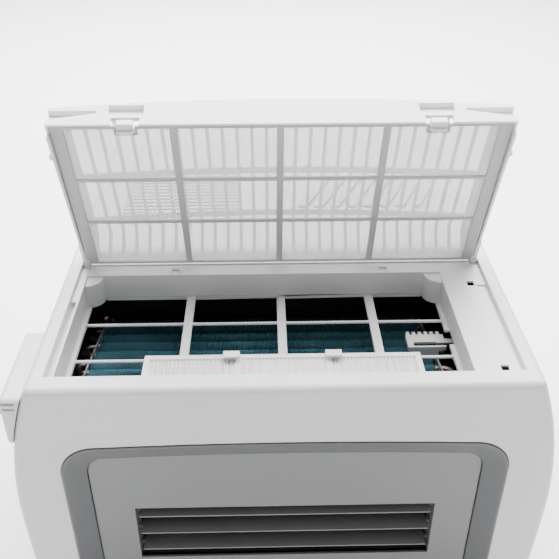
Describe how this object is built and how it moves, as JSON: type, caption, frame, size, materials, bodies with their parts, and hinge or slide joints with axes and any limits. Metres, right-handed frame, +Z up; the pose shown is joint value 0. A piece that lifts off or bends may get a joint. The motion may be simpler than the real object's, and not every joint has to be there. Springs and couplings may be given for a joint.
{
  "type": "window air conditioner",
  "caption": "Window air conditioner with a white room-side housing, hinged top intake lid with filter, gray front panel with louvers, and a vented outdoor cabinet.",
  "frame": {"origin": "middle of the base pan's underside, on the surface that it rests on", "axes": "+Z up, +Y from the room side towards the outdoor side, +X to the right seen from the room"},
  "size_m": [0.52, 0.5548, 0.5455],
  "materials": {
    "white_plastic": "fine moulded satin",
    "lid_plastic": "moulded satin",
    "cabinet_paint": "powder-coated sheet",
    "galvanised_steel": "zinc spangle",
    "surround_plastic": "satin gray",
    "panel_plastic": "semi-gloss gray",
    "display_tint": "smoked and polished",
    "circuit_board": "lacquered board",
    "bare_aluminium": "mill finish",
    "black_screw": "black zinc",
    "rubber": "moulded",
    "coated_fins": "blue hydrophilic coating",
    "copper": "drawn copper",
    "clip_plastic": "moulded",
    "black_plastic": "moulded",
    "duct_foam": "moulded foam and plastic",
    "motor_steel": "plated",
    "insulated_panel": "coated sheet",
    "fan_plastic": "moulded",
    "compressor_paint": "black enamel",
    "filter_plastic": "moulded gray",
    "strip_plastic": "moulded white",
    "filter_net": "fine woven net",
    "strip_net": "fine woven net",
    "louver_plastic": "satin gray",
    "button_plastic": "satin"
  },
  "bodies": {
    "cabinet": {"base_pan": "galvanised_steel", "front_housing": "white_plastic", "rear_cabinet": "cabinet_paint", "rear_guard": "cabinet_paint", "coil_guard": "white_plastic", "front_surround": "surround_plastic", "front_panel": "panel_plastic", "display_window": "display_tint", "control_board": "circuit_board", "control_box": "galvanised_steel", "run_capacitor": "bare_aluminium", "side_cover": "white_plastic", "cord_bush": "rubber", "cabinet_screws": "black_screw", "evaporator_fins": "coated_fins", "evaporator_tubes": "copper", "evaporator_end_plates": "galvanised_steel", "sensor_clip": "clip_plastic", "temperature_sensor": "black_plastic", "drip_tray": "duct_foam", "blower_scroll": "duct_foam", "blower_motor": "motor_steel", "bulkhead": "insulated_panel", "condenser_fins": "bare_aluminium", "condenser_tubes": "copper", "condenser_end_plates": "galvanised_steel", "fan_shroud": "fan_plastic", "fan_motor": "motor_steel", "fan_motor_bracket": "galvanised_steel", "compressor": "compressor_paint", "compressor_grommets": "rubber", "accumulator": "compressor_paint", "suction_line": "copper", "discharge_line": "copper", "filter_drier": "copper", "capillary_tube": "copper"},
    "lid": {"lid_shell": "lid_plastic", "lid_rails": "lid_plastic", "lid_hinge_pins": "motor_steel"},
    "lid_filter": {"filter_frame": "filter_plastic", "filter_mesh": "filter_net"},
    "strip_filter": {"strip_filter_frame": "strip_plastic", "strip_filter_mesh": "strip_net"},
    "blower": {"blower_wheel": "black_plastic"},
    "outdoor_fan": {"condenser_fan": "fan_plastic"},
    "drain_plug": {"drain_plug": "rubber"},
    "louver_1": {"louver_1": "louver_plastic"},
    "louver_2": {"louver_2": "louver_plastic"},
    "louver_3": {"louver_3": "louver_plastic"},
    "vane_1": {"vane_1": "louver_plastic"},
    "vane_2": {"vane_2": "louver_plastic"},
    "vane_3": {"vane_3": "louver_plastic"},
    "vane_4": {"vane_4": "louver_plastic"},
    "vane_link": {"vane_link": "louver_plastic"},
    "button_1": {"button_1": "button_plastic"},
    "button_2": {"button_2": "button_plastic"},
    "button_3": {"button_3": "button_plastic"},
    "button_4": {"button_4": "button_plastic"}
  },
  "joints": [
    {"name": "lid_hinge", "type": "hinge", "parent": "cabinet", "child": "lid", "pos_m": [0, -0.063, 0.346], "axis": [-1, 0, 0], "range_deg": [-70, 15]},
    {"name": "filter_lift", "type": "slide", "parent": "lid", "child": "lid_filter", "axis": [0, -0.9397, -0.342], "range_m": [0, 0.006]},
    {"name": "strip_filter_slide", "type": "slide", "parent": "cabinet", "child": "strip_filter", "axis": [0, 1, 0], "range_m": [0, 0.075]},
    {"name": "blower_spin", "type": "hinge", "parent": "cabinet", "child": "blower", "pos_m": [0, -0.157, 0.178], "axis": [1, 0, 0], "continuous": true},
    {"name": "outdoor_fan_spin", "type": "hinge", "parent": "cabinet", "child": "outdoor_fan", "pos_m": [0, 0.202, 0.18], "axis": [0, 1, 0], "continuous": true},
    {"name": "drain_plug_pull", "type": "slide", "parent": "cabinet", "child": "drain_plug", "axis": [0, 1, 0], "range_m": [0, 0.02]},
    {"name": "louver_1_tilt", "type": "hinge", "parent": "cabinet", "child": "louver_1", "pos_m": [0, -0.253, 0.1725], "axis": [1, 0, 0], "range_deg": [-35, 35]},
    {"name": "louver_2_tilt", "type": "hinge", "parent": "cabinet", "child": "louver_2", "pos_m": [0, -0.253, 0.1475], "axis": [1, 0, 0], "range_deg": [-35, 35]},
    {"name": "louver_3_tilt", "type": "hinge", "parent": "cabinet", "child": "louver_3", "pos_m": [0, -0.253, 0.1225], "axis": [1, 0, 0], "range_deg": [-35, 35]},
    {"name": "vane_1_turn", "type": "hinge", "parent": "cabinet", "child": "vane_1", "pos_m": [-0.1125, -0.227, 0.1475], "axis": [0, 0, 1], "range_deg": [-35, 35]},
    {"name": "vane_2_turn", "type": "hinge", "parent": "cabinet", "child": "vane_2", "pos_m": [-0.0375, -0.227, 0.1475], "axis": [0, 0, 1], "range_deg": [-35, 35]},
    {"name": "vane_3_turn", "type": "hinge", "parent": "cabinet", "child": "vane_3", "pos_m": [0.0375, -0.227, 0.1475], "axis": [0, 0, 1], "range_deg": [-35, 35]},
    {"name": "vane_4_turn", "type": "hinge", "parent": "cabinet", "child": "vane_4", "pos_m": [0.1125, -0.227, 0.1475], "axis": [0, 0, 1], "range_deg": [-35, 35]},
    {"name": "vane_link_turn", "type": "hinge", "parent": "vane_1", "child": "vane_link", "pos_m": [-0.1125, -0.216, 0.115], "axis": [0, 0, 1], "range_deg": [-35, 35]},
    {"name": "button_1_press", "type": "slide", "parent": "cabinet", "child": "button_1", "axis": [0, 1, 0], "range_m": [0, 0.0015], "stiffness_N_per_m": 600},
    {"name": "button_2_press", "type": "slide", "parent": "cabinet", "child": "button_2", "axis": [0, 1, 0], "range_m": [0, 0.0015], "stiffness_N_per_m": 600},
    {"name": "button_3_press", "type": "slide", "parent": "cabinet", "child": "button_3", "axis": [0, 1, 0], "range_m": [0, 0.0015], "stiffness_N_per_m": 600},
    {"name": "button_4_press", "type": "slide", "parent": "cabinet", "child": "button_4", "axis": [0, 1, 0], "range_m": [0, 0.0015], "stiffness_N_per_m": 600}
  ],
  "couplings": [
    {"joint": "louver_2_tilt", "follows": "louver_1_tilt", "ratio": 1},
    {"joint": "louver_3_tilt", "follows": "louver_1_tilt", "ratio": 1},
    {"joint": "vane_2_turn", "follows": "vane_1_turn", "ratio": 1},
    {"joint": "vane_3_turn", "follows": "vane_1_turn", "ratio": 1},
    {"joint": "vane_4_turn", "follows": "vane_1_turn", "ratio": 1},
    {"joint": "vane_link_turn", "follows": "vane_1_turn", "ratio": -1}
  ]
}
